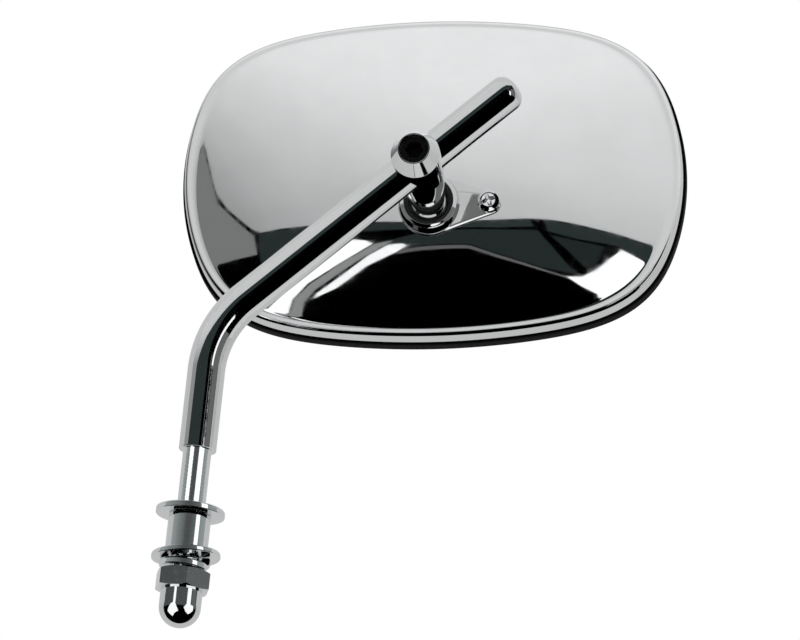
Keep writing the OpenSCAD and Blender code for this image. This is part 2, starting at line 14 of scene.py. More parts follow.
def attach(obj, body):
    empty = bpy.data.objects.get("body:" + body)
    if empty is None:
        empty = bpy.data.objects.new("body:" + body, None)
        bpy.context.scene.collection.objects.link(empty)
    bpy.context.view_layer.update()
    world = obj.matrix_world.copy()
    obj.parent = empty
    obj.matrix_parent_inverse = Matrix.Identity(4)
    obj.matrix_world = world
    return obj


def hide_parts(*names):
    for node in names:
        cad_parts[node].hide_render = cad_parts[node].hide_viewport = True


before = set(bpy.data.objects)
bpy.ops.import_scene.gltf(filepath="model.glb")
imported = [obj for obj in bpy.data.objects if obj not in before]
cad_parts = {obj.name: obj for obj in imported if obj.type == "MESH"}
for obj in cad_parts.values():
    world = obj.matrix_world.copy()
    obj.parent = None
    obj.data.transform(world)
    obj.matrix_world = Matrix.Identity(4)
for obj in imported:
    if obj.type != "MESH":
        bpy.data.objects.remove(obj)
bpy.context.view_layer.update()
MM = 0.001

# Stem and stud, as in the part's source
ROD_D = 9.525
LOWER_LENGTH = 32.5
ARM_LENGTH = 99
BEND_ANGLE = math.radians(45.2)
BEND_RADIUS = 27
TIP_ROUND = 3.4
POST_STATION = 67.2
STUD_D = 7.2

# Stud hardware
WASHER_D = 17.5
WASHER_HOLE_D = 8.5
UPPER_WASHER_TOP = -15.5
UPPER_WASHER_T = 1.6
LOWER_WASHER_T = 1.35
LOWER_WASHER_LEAN = math.radians(5)
SLEEVE_D = 10.8
SLEEVE_HOLE_D = 7.8
SLEEVE_LENGTH = 9.5
LOCK_WASHER_D = 12.9
LOCK_WIRE_W = 2.3
LOCK_WIRE_T = 1.9
LOCK_RISE = 2
NUT_AF = 12.7
NUT_HEX_H = 5
NUT_DOME_D = 10.7
NUT_DOME_STRAIGHT = 4.2
NUT_TURN = math.radians(-16)
NUT_BEVEL = math.radians(25)
NUT_BORE_R = 3.65
NUT_BORE_ABOVE_TIP = 3.2
STUD_ABOVE_TIP = 3.8
THREAD_PITCH = 1.058
THREAD_DEPTH = 0.022
SEAT_CLEAR = 0.02

SLEEVE_TOP = UPPER_WASHER_TOP - UPPER_WASHER_T
SLEEVE_END = SLEEVE_TOP - SLEEVE_LENGTH
LEAN_DROP = math.tan(LOWER_WASHER_LEAN)
LOWER_WASHER_TOP = SLEEVE_END - SEAT_CLEAR - SLEEVE_D / 2 * LEAN_DROP
LOCK_TOP = (
    LOWER_WASHER_TOP
    - LOWER_WASHER_T / math.cos(LOWER_WASHER_LEAN)
    + (LOCK_WASHER_D / 2 - LOCK_WIRE_W) * LEAN_DROP
    - SEAT_CLEAR
)
NUT_TOP = LOCK_TOP - LOCK_WIRE_T - LOCK_RISE - SEAT_CLEAR
NUT_DOME_TOP = NUT_TOP - NUT_HEX_H
NUT_TIP = NUT_DOME_TOP - NUT_DOME_STRAIGHT - NUT_DOME_D / 2
STUD_END = NUT_TIP + STUD_ABOVE_TIP

# Post, measured along its own axis from the arm's axis
POST_D = 12.5
POST_ABOVE = 13.1
POST_CONE = 5
NECK_START = 6
NECK_D = 8.3
BALL_R = 6
BALL_DEPTH = 35.7
ROD_HOLE_R = 4.8125
SCREW_HOLE_R = 3.75
SCREW_R = 3.7
SCREW_TOP = 11.9
HEX_AF = 4
HEX_DEPTH = 3.6

# Head, measured along the post's axis
HALF_L = 61.1
HALF_H = 39.95
DOME_RISE = 11
LONG_POWER = 4.16
SHORT_POWER = 3.67
CORNER_TRIM = 0.061
RIM_END_W = 1.8
RIM_SIDE_W = 1.4
RIM_ROUND = 0.6
WALL_DEPTH = 7
WALL_DRAFT = 0.5
SHEET_T = 0.9
CENTRE_ABOVE_POST = 10.2
HEAD_TURN = math.radians(6.3)
GLASS_RADIUS = 1250
GLASS_T = 2.5
DOME_AT_POST = -BALL_DEPTH + 0.4
RIM_Z = DOME_AT_POST - DOME_RISE * (1 - (CENTRE_ABOVE_POST / HALF_H) ** 2)
WALL_END = RIM_Z - WALL_DEPTH
GASKET_FRONT = WALL_END - 3.3
GLASS_FRONT = GASKET_FRONT - 0.2
SOCKET_R = 7.4
ROLL = 1.05
GASKET_FLANGE = 1.7
COVER_TOP = DOME_AT_POST + 2.5
COVER_BIG_R = 7.95
COVER_SMALL_R = 2.95
COVER_T = 1.15
COVER_REACH = 15.2
COLLAR_R = 7.3
COLLAR_RISE = 0.8
CLAMP_SHANK_R = 1.5
CLAMP_HOLE_R = 1.7
CLAMP_HEAD_R = 2.85
CLAMP_HEAD_H = 2.4
CLAMP_HEAD_SIDE = 1.65
CLAMP_SCREW_END = -48

# Frames: the post's has local z out of the back of the head, and the head's is turned in its own plane
CROSSING = Vector(
    (POST_STATION * math.sin(BEND_ANGLE), 0, LOWER_LENGTH + POST_STATION * math.cos(BEND_ANGLE))
)
POST_FRAME = Matrix.Translation(CROSSING) @ Matrix.Rotation(math.pi / 2, 4, "X")
HEAD_FRAME = POST_FRAME @ Matrix.Rotation(HEAD_TURN, 4, "Z")
HEAD_MIDDLE = HEAD_FRAME @ Matrix.Translation((0, CENTRE_ABOVE_POST, 0))
SCREW_FRAME = HEAD_FRAME @ Matrix.Translation((COVER_REACH, 0, 0))


# Meshes


def make_piece(name, points, faces, matrix=None):
    """Object from points in millimetres, in a frame of its own."""
    points = np.asarray(points, float)
    place = np.array(matrix if matrix else Matrix())
    points = (points @ place[:3, :3].T + place[:3, 3]) * MM
    mesh = bpy.data.meshes.new(name)
    mesh.from_pydata(points.tolist(), [], faces)
    mesh.validate()
    mesh.polygons.foreach_set("use_smooth", [True] * len(mesh.polygons))
    piece = bpy.data.objects.new(name, mesh)
    bpy.context.scene.collection.objects.link(piece)
    return piece


def ring_faces(count, around, closed):
    """Quads between rings that lie one after another."""
    faces = []
    for r in range(count if closed else count - 1):
        a, b = r * around, (r + 1) % count * around
        for i in range(around):
            j = (i + 1) % around
            faces.append((a + i, a + j, b + j, b + i))
    return faces


def ring_piece(name, rings, matrix=None, closed=False):
    """Closed solid through rings of equal count: a loop of rings, or rings with a fan at each end."""
    rings = np.asarray(rings, float)
    count, around = rings.shape[:2]
    points = rings.reshape(-1, 3)
    faces = ring_faces(count, around, closed)
    if not closed:
        first, last = len(points), len(points) + 1
        points = np.vstack([points, rings[0].mean(0), rings[-1].mean(0)])
        start = (count - 1) * around
        for i in range(around):
            j = (i + 1) % around
            faces.append((first, j, i))
            faces.append((last, start + i, start + j))
    piece = make_piece(name, points, faces, matrix)
    face_out(piece)
    return piece


def face_out(piece):
    """Turns the faces outward where the mesh came out inside out."""
    mesh = piece.data
    mesh.calc_loop_triangles()
    points = np.array([v.co for v in mesh.vertices])
    triangles = np.array([t.vertices for t in mesh.loop_triangles])
    a, b, c = (points[triangles[:, i]] for i in range(3))
    if np.einsum("ij,ij->i", a, np.cross(b, c)).sum() < 0:
        mesh.flip_normals()


def rounded(corners, closed=False, steps=5, support=0.08):
    """Profile through corners (r, z, fillet radius), with points beside each fillet to keep the flats flat."""
    out = []
    count = len(corners)
    for i, (r, z, fillet) in enumerate(corners):
        here = Vector((r, z))
        if fillet == 0 or (not closed and i in (0, count - 1)):
            out.append((r, z))
            continue
        before = Vector(corners[i - 1][:2]) - here
        after = Vector(corners[(i + 1) % count][:2]) - here
        half = before.angle(after) / 2
        reach = min(fillet / math.tan(half), 0.46 * before.length, 0.46 * after.length)
        radius = reach * math.tan(half)
        before.normalize()
        after.normalize()
        centre = here + (before + after).normalized() * radius / math.sin(half)
        start, end = here + before * reach, here + after * reach
        out.append(tuple(start + before * min(support, reach * 0.3)))
        first, last = start - centre, end - centre
        sweep = math.atan2(first.x * last.y - first.y * last.x, first.dot(last))
        for k in range(steps + 1):
            c, s = math.cos(sweep * k / steps), math.sin(sweep * k / steps)
            out.append((centre.x + c * first.x - s * first.y, centre.y + s * first.x + c * first.y))
        out.append(tuple(end + after * min(support, reach * 0.3)))
    return out


def turns(around):
    return np.linspace(0, 2 * math.pi, around, endpoint=False)


def circle(r, z, t):
    """Ring at a height, with one radius or with a radius for each of the directions t."""
    return np.stack([r * np.cos(t), r * np.sin(t), np.full(len(t), z)], 1)


def turned(name, profile, matrix=None, closed=False, around=128):
    """Lathe work: a closed profile makes a ring, an open one runs from the axis to the axis."""
    if not closed:
        profile = [p for p in profile if p[0] > 0]
    rings = [circle(r, z, turns(around)) for r, z in profile]
    return ring_piece(name, rings, matrix, closed)


def cutter(name, radius, start, end, matrix=None, around=128):
    """Plain cylinder that cuts a round hole."""
    return turned(name, [(radius, start), (radius, end)], matrix, around=around)


def hexagon(corner, z, turn=0.0):
    """Ring of six points at a distance from the axis."""
    angles = [turn + k * math.pi / 3 for k in range(6)]
    return [(corner * math.cos(a), corner * math.sin(a), z) for a in angles]


def arc(centre_r, centre_z, radius, start, end, steps):
    """Points of an arc in a lathe profile, angles in degrees from the radius direction."""
    return [
        (
            centre_r + radius * math.cos(math.radians(start + (end - start) * k / steps)),
            centre_z + radius * math.sin(math.radians(start + (end - start) * k / steps)),
        )
        for k in range(steps + 1)
    ]


def combine(piece, operation, *tools):
    """Cuts, joins or intersects a piece with tools, which are used up."""
    for tool in tools:
        step = piece.modifiers.new("combine", "BOOLEAN")
        step.operation = operation
        step.solver = "EXACT"
        step.object = tool
    settle(piece)
    for tool in tools:
        mesh = tool.data
        bpy.data.objects.remove(tool)
        bpy.data.meshes.remove(mesh)


def settle(piece):
    """Applies a piece's modifiers."""
    bpy.context.view_layer.update()
    graph = bpy.context.evaluated_depsgraph_get()
    mesh = bpy.data.meshes.new_from_object(piece.evaluated_get(graph))
    piece.modifiers.clear()
    old, name = piece.data, piece.data.name
    piece.data = mesh
    bpy.data.meshes.remove(old)
    mesh.name = name


def crease(piece, degrees):
    """Keeps edges sharper than an angle crisp."""
    piece.data.set_sharp_from_angle(angle=math.radians(degrees))


def round_edges(piece, width, degrees, segments):
    """Cuts a piece's sharp edges round by a width in millimetres."""
    step = piece.modifiers.new("bevel", "BEVEL")
    step.width = width * MM
    step.segments = segments
    step.limit_method = "ANGLE"
    step.angle_limit = math.radians(degrees)
    settle(piece)


def even_out(piece):
    """Keeps flat faces flat in the shading, beside rounded edges."""
    piece.data.polygons.foreach_set("use_smooth", [True] * len(piece.data.polygons))
    crease(piece, 40)
    even = piece.modifiers.new("even", "WEIGHTED_NORMAL")
    even.keep_sharp = True
    even.weight = 90
    settle(piece)


def soften(piece, width, degrees, segments):
    """Rounds a piece's sharp edges by a width in millimetres."""
    round_edges(piece, width, degrees, segments)
    even_out(piece)


# Outlines of the head


def stretch(c, s, n, m):
    """How far a point in direction (c, s) moves out to reach the outline of powers n and m."""
    k = np.ones_like(c)
    for _ in range(7):
        across, along = (k * c) ** n, (k * s) ** m
        k = k - (across + along - 1) * k / (n * across + m * along)
    return k


def outline(a, b, t, n=LONG_POWER, m=SHORT_POWER, trim=CORNER_TRIM):
    k = stretch(np.abs(np.cos(t)), np.abs(np.sin(t)), n, m) * (1 - trim * (1 - np.cos(4 * t)) / 2)
    return np.stack([a * k * np.cos(t), b * k * np.sin(t)], -1)


TURN = turns(360)


def edge_outline(out):
    """The head's outline, moved outward from the wall by a distance."""
    return outline(HALF_L + RIM_END_W + RIM_ROUND + out, HALF_H + RIM_SIDE_W + RIM_ROUND + out, TURN)


def lifted(points, z):
    return np.column_stack([points, np.broadcast_to(z, len(points))])


def dome_ring(share, drop=0.0):
    """Ring of the dome at a share of its reach."""
    ring = outline(
        HALF_L * share,
        HALF_H * share,
        TURN,
        2 + (LONG_POWER - 2) * share**2,
        2 + (SHORT_POWER - 2) * share**2,
        CORNER_TRIM * share**2,
    )
    return lifted(ring, RIM_Z + DOME_RISE * (1 - share**2) + drop)


def dome_height(x, y):
    """Height of the dome's outer face at points about the post's axis, in the head's frame."""
    y = y - CENTRE_ABOVE_POST
    t = np.arctan2(y / HALF_H, x / HALF_L)
    far = np.hypot(x / HALF_L, y / HALF_H)
    low, high = np.zeros_like(far), np.ones_like(far)
    for _ in range(40):
        share = (low + high) / 2
        n, m = 2 + (LONG_POWER - 2) * share**2, 2 + (SHORT_POWER - 2) * share**2
        k = stretch(np.abs(np.cos(t)), np.abs(np.sin(t)), n, m)
        reach = share * k * (1 - CORNER_TRIM * share**2 * (1 - np.cos(4 * t)) / 2)
        low, high = np.where(reach < far, share, low), np.where(reach < far, high, share)
    return RIM_Z + DOME_RISE * (1 - low**2)


def fall(points):
    """How far the curved glass falls back at points of the outline."""
    return (points[:, 0] ** 2 + points[:, 1] ** 2) / (2 * GLASS_RADIUS)


# Stem


def stem_rod():
    """Bent rod from its shoulder to its rounded tip, swept along its centre line."""
    radius = ROD_D / 2
    reach = BEND_RADIUS * math.tan(BEND_ANGLE / 2)
    foot = rounded([(0, 0, 0), (radius, 0, 0.3), (radius, 3, 0)])[1:]
    stations = [(z, r) for r, z in foot]
    stations += [(z, radius) for z in np.linspace(4, LOWER_LENGTH - reach, 8)]
    rings = [rod_ring(Vector((0, 0, z)), 0.0, r) for z, r in stations]
    for turn in np.linspace(0, BEND_ANGLE, 49)[1:]:
        side = Vector((-math.cos(turn), 0, math.sin(turn)))
        middle = Vector((BEND_RADIUS, 0, LOWER_LENGTH - reach)) + side * BEND_RADIUS
        rings.append(rod_ring(middle, turn, radius))
    start = Vector((0, 0, LOWER_LENGTH))
    arm = Vector((math.sin(BEND_ANGLE), 0, math.cos(BEND_ANGLE)))
    for far in np.linspace(reach, ARM_LENGTH - TIP_ROUND, 14)[1:]:
        rings.append(rod_ring(start + arm * far, BEND_ANGLE, radius))
    flat_r = radius - TIP_ROUND
    for r, z in arc(flat_r, ARM_LENGTH - TIP_ROUND, TIP_ROUND, 0, 90, 20)[1:]:
        rings.append(rod_ring(start + arm * z, BEND_ANGLE, r))
    rings.append(rod_ring(start + arm * ARM_LENGTH, BEND_ANGLE, flat_r * 0.6))
    return ring_piece("stem_rod", rings)


def rod_ring(middle, turn, radius):
    """Circle across the rod, where the rod is turned from upright by an angle."""
    t = turns(128)
    side = np.array((math.cos(turn), 0, -math.sin(turn)))
    back = np.array((0, 1.0, 0))
    return np.array(middle) + radius * (np.outer(np.cos(t), side) + np.outer(np.sin(t), back))


def stem_stud():
    """Reduced stud with a fine rolled thread that runs out below the shoulder."""
    t = turns(96)
    point = [(2.0, STUD_END), (2.8, STUD_END), (2.95, STUD_END + 0.1), (3.5, STUD_END + 0.7)]
    rings = [circle(r, z, t) for r, z in point]
    for z in np.arange(STUD_END + 0.85, 0.4, THREAD_PITCH / 8):
        wave = (1 - np.cos(2 * math.pi * z / THREAD_PITCH - t)) / 2
        fade = min(1, max(0, (-0.6 - z) / 1.5))
        rings.append(circle(STUD_D / 2 - THREAD_DEPTH * fade * wave, z, t))
    return ring_piece("stem_stud", rings)


# Stud hardware


def washer(name, top, thickness, lean=0.0):
    hole, out = WASHER_HOLE_D / 2, WASHER_D / 2
    profile = [
        (hole, 0, 0.25),
        (out, 0, 0.45),
        (out, -thickness, 0.2),
        (hole, -thickness, 0.2),
    ]
    place = Matrix.Translation((0, 0, top)) @ Matrix.Rotation(-lean, 4, "Y")
    return turned(name, rounded(profile, closed=True), place, closed=True)


def spacer_sleeve():
    hole, out = SLEEVE_HOLE_D / 2, SLEEVE_D / 2
    top = SLEEVE_TOP - SEAT_CLEAR
    profile = [(hole, top, 0.2), (out, top, 0.3), (out, SLEEVE_END, 0.3), (hole, SLEEVE_END, 0.2)]
    return turned("sleeve_body", rounded(profile, closed=True), closed=True)


def lock_washer():
    """One turn of square wire with rounded corners, sprung open."""
    out, inner = LOCK_WASHER_D / 2, LOCK_WASHER_D / 2 - LOCK_WIRE_W
    section = rounded(
        [(inner, 0, 0.2), (out, 0, 0.45), (out, -LOCK_WIRE_T, 0.45), (inner, -LOCK_WIRE_T, 0.2)],
        closed=True,
        steps=4,
    )
    rings = []
    for share in np.linspace(0, 1, 130):
        t = math.radians(-8 + 345 * share)
        rings.append(
            [(r * math.cos(t), r * math.sin(t), LOCK_TOP - LOCK_RISE * share + z) for r, z in section]
        )
    piece = ring_piece("lock_washer_coil", rings)
    crease(piece, 50)
    return piece


def acorn_nut():
    """Hexagon with turned chamfers on both faces, closed by a dome."""
    flat = NUT_AF / 2
    corner = flat / math.cos(math.pi / 6)
    piece = ring_piece("nut_body", [hexagon(corner, z, NUT_TURN) for z in (NUT_DOME_TOP, NUT_TOP)])
    bevel = (corner - flat) * math.tan(NUT_BEVEL)
    chamfer = turned(
        "nut_chamfer",
        [
            (flat, NUT_DOME_TOP - 0.01),
            (corner + 0.2, NUT_DOME_TOP + bevel + 0.1),
            (corner + 0.2, NUT_TOP - bevel - 0.1),
            (flat, NUT_TOP + 0.01),
        ],
        around=72,
    )
    combine(piece, "INTERSECT", chamfer)
    round_edges(piece, 0.26, 20, 3)
    radius = NUT_DOME_D / 2
    profile = [(radius, NUT_DOME_TOP + 0.5)]
    profile += arc(0, NUT_DOME_TOP - NUT_DOME_STRAIGHT, radius, 0, -89, 24)
    combine(piece, "UNION", turned("nut_dome", profile))
    bore = cutter("nut_bore", NUT_BORE_R, NUT_TOP + 1, NUT_TIP + NUT_BORE_ABOVE_TIP)
    combine(piece, "DIFFERENCE", bore)
    even_out(piece)
    return piece


# Post


def clamp_post():
    """Turned post with a cone, a tapered neck and a ball, drilled across for the arm."""
    neck_end = -BALL_DEPTH + math.sqrt(BALL_R**2 - (NECK_D / 2) ** 2)
    neck_angle = math.degrees(math.asin((neck_end + BALL_DEPTH) / BALL_R))
    head = rounded(
        [
            (0, 0, 0),
            (SCREW_HOLE_R, 0, 0),
            (SCREW_HOLE_R, POST_ABOVE, 0.12),
            (SCREW_HOLE_R + 0.35, POST_ABOVE, 0.12),
            (POST_D / 2, POST_ABOVE - POST_CONE, 0.25),
            (POST_D / 2, -NECK_START, 1.5),
            (NECK_D / 2, neck_end, 0),
        ]
    )
    ball = arc(0, -BALL_DEPTH, BALL_R, neck_angle - 2, -89, 40)
    piece = turned("post_body", head + ball, POST_FRAME, around=160)
    across = Matrix.Translation(CROSSING) @ Matrix.Rotation(BEND_ANGLE, 4, "Y")
    combine(piece, "DIFFERENCE", cutter("post_bore", ROD_HOLE_R, -12, 12, across, 192))
    crease(piece, 35)
    return piece


def set_screw():
    """Headless screw with a hexagon socket."""
    bottom = ROD_HOLE_R + SEAT_CLEAR
    profile = rounded(
        [
            (0, bottom, 0),
            (SCREW_R - 0.6, bottom, 0),
            (SCREW_R, bottom + 0.6, 0.1),
            (SCREW_R, SCREW_TOP, 0.3),
            (0, SCREW_TOP, 0),
        ]
    )
    piece = turned("set_screw_body", profile, POST_FRAME, around=96)
    corner = HEX_AF / 2 / math.cos(math.pi / 6)
    end = SCREW_TOP - HEX_DEPTH
    socket = [hexagon(corner * s, z) for z, s in ((end, 0.9), (end + 0.2, 1), (SCREW_TOP + 1, 1))]
    combine(piece, "DIFFERENCE", ring_piece("hex_socket", socket, POST_FRAME))
    soften(piece, 0.12, 35, 2)
    return piece


# Swivel cover and its screw


def teardrop(inset, t):
    """Distance from the post's axis to the teardrop's edge in directions t, drawn in by an inset."""
    big, small = COVER_BIG_R - inset, COVER_SMALL_R - inset
    lean = math.asin((COVER_BIG_R - COVER_SMALL_R) / COVER_REACH)
    c, s = np.cos(t), np.abs(np.sin(t))
    on_line = big / np.maximum(c * math.sin(lean) + s * math.cos(lean), 1e-6)
    root = np.sqrt(np.maximum(small**2 - (COVER_REACH * s) ** 2, 0))
    on_small = COVER_REACH * c + root
    at_line = math.pi / 2 - lean
    tip = math.atan2(small * math.cos(lean), COVER_REACH + small * math.sin(lean))
    angle = np.abs((t + math.pi) % (2 * math.pi) - math.pi)
    return np.where(angle > at_line, big, np.where(angle < tip, on_small, on_line))


def swivel_cover():
    """Teardrop plate that follows the dome, with a rolled collar round the ball."""
    t = turns(256)
    lip = COVER_TOP + COLLAR_RISE
    edge = 0.75
    foot = COLLAR_R + 0.45
    cavity = SOCKET_R + 0.03

    def above(r, height):
        """Ring at a height over the dome."""
        x, y = r * np.cos(t), r * np.sin(t)
        return np.stack([x, y, dome_height(x, y) + height], 1)

    rings = [above(cavity, 0.03), above(teardrop(0.3, t), 0.03), above(teardrop(0.06, t), 0.03)]
    rings += [above(teardrop(0, t), 0.1), above(teardrop(0, t), 0.25)]
    bends = [math.pi / 2 * k / 8 for k in range(9)]
    plate = [(teardrop(edge * (1 - math.cos(a)), t), COVER_T - edge * (1 - math.sin(a))) for a in bends]
    face = teardrop(edge + 0.1, t)
    plate.append((face, COVER_T))
    plate += [(face + (foot - face) * share, COVER_T) for share in (0.2, 0.4, 0.6, 0.8, 1)]
    for k, (r, height) in enumerate(plate):
        outside_foot = foot + 0.01 * (len(plate) - k)
        rings.append(above(np.maximum(r, outside_foot), height))
    rings.append(above(foot - 0.02, COVER_T + 0.1))
    collar = [((foot + COLLAR_R) / 2, lip - 1.1), (COLLAR_R, lip - 0.7)]
    collar += arc(COLLAR_R - 0.4, lip - 0.4, 0.4, 0, 70, 6)
    collar += [(6.72, lip + 0.18), (6.5, lip + 0.42), (6.38, lip + 0.46), (6.31, lip + 0.4), (6.29, lip + 0.26)]
    rings += [circle(r, z, t) for r, z in collar]
    for rise in (31, 26, 20, 14, 9, 5):
        r = cavity * math.cos(math.radians(rise))
        z = -BALL_DEPTH + cavity * math.sin(math.radians(rise))
        rings.append(np.maximum(circle(r, z, t), above(r, 0.06 + 0.002 * rise)))
    piece = ring_piece("cover_body", rings, HEAD_FRAME, closed=True)
    combine(piece, "DIFFERENCE", cutter("cover_hole", CLAMP_HOLE_R, -50, -25, SCREW_FRAME))
    crease(piece, 45)
    return piece


def clamp_screw():
    """Round-headed screw through the cover's small end, with a cross recess."""
    under = float(dome_height(np.array(COVER_REACH), np.array(0.0))) + COVER_T - 0.35
    top = under + CLAMP_HEAD_H
    profile = rounded(
        [
            (0, CLAMP_SCREW_END, 0),
            (CLAMP_SHANK_R, CLAMP_SCREW_END, 0.2),
            (CLAMP_SHANK_R, under, 0),
            (CLAMP_HEAD_R, under, 0.12),
            (CLAMP_HEAD_R, under + CLAMP_HEAD_SIDE, 0.8),
            (1.9, top, 0.8),
            (0, top, 0),
        ],
        steps=8,
    )
    piece = turned("clamp_screw_body", profile, SCREW_FRAME, around=96)
    for turn in (20, 110):
        combine(piece, "DIFFERENCE", cross_slot(top, math.radians(turn)))
    soften(piece, 0.06, 40, 2)
    return piece


def cross_slot(top, turn):
    """One tapered slot of the cross recess."""
    rings = []
    for z, half_l, half_w in ((top - 1.3, 0.75, 0.26), (top + 0.1, 1.75, 0.48)):
        rings.append([(x * half_l, y * half_w, z) for x, y in ((-1, -1), (1, -1), (1, 1), (-1, 1))])
    return ring_piece("slot", rings, SCREW_FRAME @ Matrix.Rotation(turn, 4, "Z"))


# Shell, glass and gasket


def back_shell():
    """Pressed dome with a flat rim, a rolled edge and a side wall, one sheet thick."""
    shares = np.concatenate([np.linspace(0.012, 0.9, 60), np.linspace(0.9, 0.985, 10)[1:]])
    crest = dome_ring(1.0)
    rim_edge = lifted(edge_outline(-ROLL), RIM_Z)
    rings = [dome_ring(s) for s in shares]
    start, end = dome_ring(0.985), crest + 0.45 * (rim_edge - crest)
    for k in range(1, 7):
        s = k / 6
        rings.append((1 - s) ** 2 * start + 2 * s * (1 - s) * crest + s * s * end)
    rings.append(crest + 0.6 * (rim_edge - crest))
    rings.append(crest + 0.94 * (rim_edge - crest))
    for k in range(9):
        turn = math.pi / 2 * k / 8
        rings.append(lifted(edge_outline(ROLL * (math.sin(turn) - 1)), RIM_Z - ROLL * (1 - math.cos(turn))))
    wall_top = RIM_Z - ROLL
    for s in (0.03, 0.5, 0.97, 1):
        rings.append(lifted(edge_outline(WALL_DRAFT * s), wall_top + (WALL_END - wall_top) * s))
    rings.append(lifted(edge_outline(WALL_DRAFT - 0.1), WALL_END))
    for s in (1, 0.97, 0.03):
        rings.append(lifted(edge_outline(WALL_DRAFT * s - SHEET_T), wall_top + (WALL_END - wall_top) * s))
    for k in range(4, -1, -1):
        turn = math.pi / 2 * k / 4
        inner = edge_outline(-SHEET_T + 0.3 * (math.sin(turn) - 1))
        rings.append(lifted(inner, RIM_Z - SHEET_T - 0.3 * (1 - math.cos(turn))))
    rings += [dome_ring(s, -SHEET_T) for s in np.linspace(1, 0.012, 40)]
    piece = ring_piece("shell_body", rings, HEAD_MIDDLE)
    ball_hole = cutter("ball_hole", SOCKET_R + 0.02, -60, -20, HEAD_FRAME)
    screw_hole = cutter("screw_hole", CLAMP_HOLE_R, -50, -20, SCREW_FRAME)
    combine(piece, "DIFFERENCE", ball_hole, screw_hole)
    crease(piece, 50)
    return piece


def mirror_glass():
    """Convex glass with ground edges."""
    edge = edge_outline(-1.9)
    rings = []
    for s in np.concatenate([np.linspace(0.02, 0.985, 30), [0.9925]]):
        rings.append(lifted(edge * s, GLASS_FRONT + fall(edge * s)))
    bevel = edge_outline(-2.15)
    rings.append(lifted(bevel, GLASS_FRONT + fall(bevel)))
    rings.append(lifted(edge, GLASS_FRONT + fall(edge) + 0.3))
    rings.append(lifted(edge, GLASS_FRONT + fall(edge) + GLASS_T - 0.2))
    rings.append(lifted(bevel, GLASS_FRONT + fall(bevel) + GLASS_T))
    for s in (0.98, 0.6, 0.02):
        rings.append(lifted(edge * s, GLASS_FRONT + fall(edge * s) + GLASS_T))
    piece = ring_piece("glass_body", rings, HEAD_MIDDLE)
    crease(piece, 30)
    return piece


def rim_gasket():
    """Rubber channel round the glass that closes the shell's open edge."""
    gap = 0.05
    top, front, back = WALL_END - gap, GASKET_FRONT, GLASS_FRONT + GLASS_T
    out = WALL_DRAFT + 0.28
    lip = -3.8
    wall_in, wall_in_top = WALL_DRAFT - SHEET_T - gap, -SHEET_T - gap
    lap = WALL_END + GASKET_FLANGE
    wall = WALL_DRAFT * (1 - GASKET_FLANGE / (WALL_DEPTH - ROLL))
    # Corners of the section: how far out of the wall, how high, and 1 where the height follows the glass
    loops = [(WALL_DRAFT + 0.04, top, 0), (wall + 0.05, lap - 0.06, 0), (wall + 0.12, lap, 0)]
    loops += [(out - 0.2, lap - 0.02, 0), (out - 0.04, lap - 0.16, 0), (out, lap - 0.4, 0)]
    loops += [(out, top, 0), (out, front + 0.95, 0)]
    bead = ((0.04, 0.72), (0.16, 0.44), (0.36, 0.2), (0.62, 0.05), (0.9, 0))
    loops += [(out - r, front + z, 0) for r, z in bead]
    loops += [
        (lip + 0.7, front, 0),
        (lip + 0.3, front + 0.03, 0),
        (lip + 0.08, GLASS_FRONT - 0.12, 1),
        (lip, GLASS_FRONT - gap, 1),
        (-1.85, GLASS_FRONT - gap, 1),
        (-1.85, back + gap, 1),
        (lip + 0.5, back + gap, 1),
        (lip + 0.5, back + 0.85, 1),
        (wall_in_top - 0.4, back + 2.05, 1),
        (wall_in_top, back + 0.85, 1),
        (wall_in, top, 0),
    ]
    rings = []
    for reach, z, bent in loops:
        edge = edge_outline(reach)
        rings.append(lifted(edge, z + bent * fall(edge)))
    piece = ring_piece("gasket_body", rings, HEAD_MIDDLE, closed=True)
    crease(piece, 40)
    return piece


# Materials


def material(name, build):
    made = bpy.data.materials.new(name)
    made.use_nodes = True
    nodes, links = made.node_tree.nodes, made.node_tree.links
    build(nodes, links, nodes["Principled BSDF"])
    return made


def noise(nodes, links, scale, detail=3.0):
    """Noise texture in object space, as wide as a scale in millimetres."""
    place = nodes.new("ShaderNodeTexCoord")
    texture = nodes.new("ShaderNodeTexNoise")
    texture.inputs["Scale"].default_value = 1 / (scale * MM)
    texture.inputs["Detail"].default_value = detail
    links.new(place.outputs["Object"], texture.inputs["Vector"])
    return texture.outputs["Fac"]


def ramp(nodes, links, value, low, high):
    """Colours or greys between two limits of a value."""
    made = nodes.new("ShaderNodeValToRGB")
    made.color_ramp.elements[0].position, made.color_ramp.elements[1].position = 0.3, 0.7
    for element, tone in zip(made.color_ramp.elements, (low, high)):
        rgb = tone if isinstance(tone, tuple) else (tone, tone, tone)
        element.color = (*rgb, 1)
    links.new(value, made.inputs["Fac"])
    return made.outputs["Color"]


def bump(nodes, links, value, shader, height, strength=1.0):
    made = nodes.new("ShaderNodeBump")
    made.inputs["Distance"].default_value = height * MM
    made.inputs["Strength"].default_value = strength
    links.new(value, made.inputs["Height"])
    links.new(made.outputs["Normal"], shader.inputs["Normal"])


def coordinate(nodes, links, axis, space="Object"):
    place = nodes.new("ShaderNodeTexCoord")
    parts = nodes.new("ShaderNodeSeparateXYZ")
    links.new(place.outputs[space], parts.inputs[0])
    return parts.outputs[axis]


def spread(nodes, links, value, low, high, bottom=0.0, top=1.0, smooth=False):
    """Carries a value from one range over to another."""
    made = nodes.new("ShaderNodeMapRange")
    if smooth:
        made.interpolation_type = "SMOOTHSTEP"
    for name, level in (("From Min", low), ("From Max", high), ("To Min", bottom), ("To Max", top)):
        made.inputs[name].default_value = level
    links.new(value, made.inputs["Value"])
    return made.outputs[0]


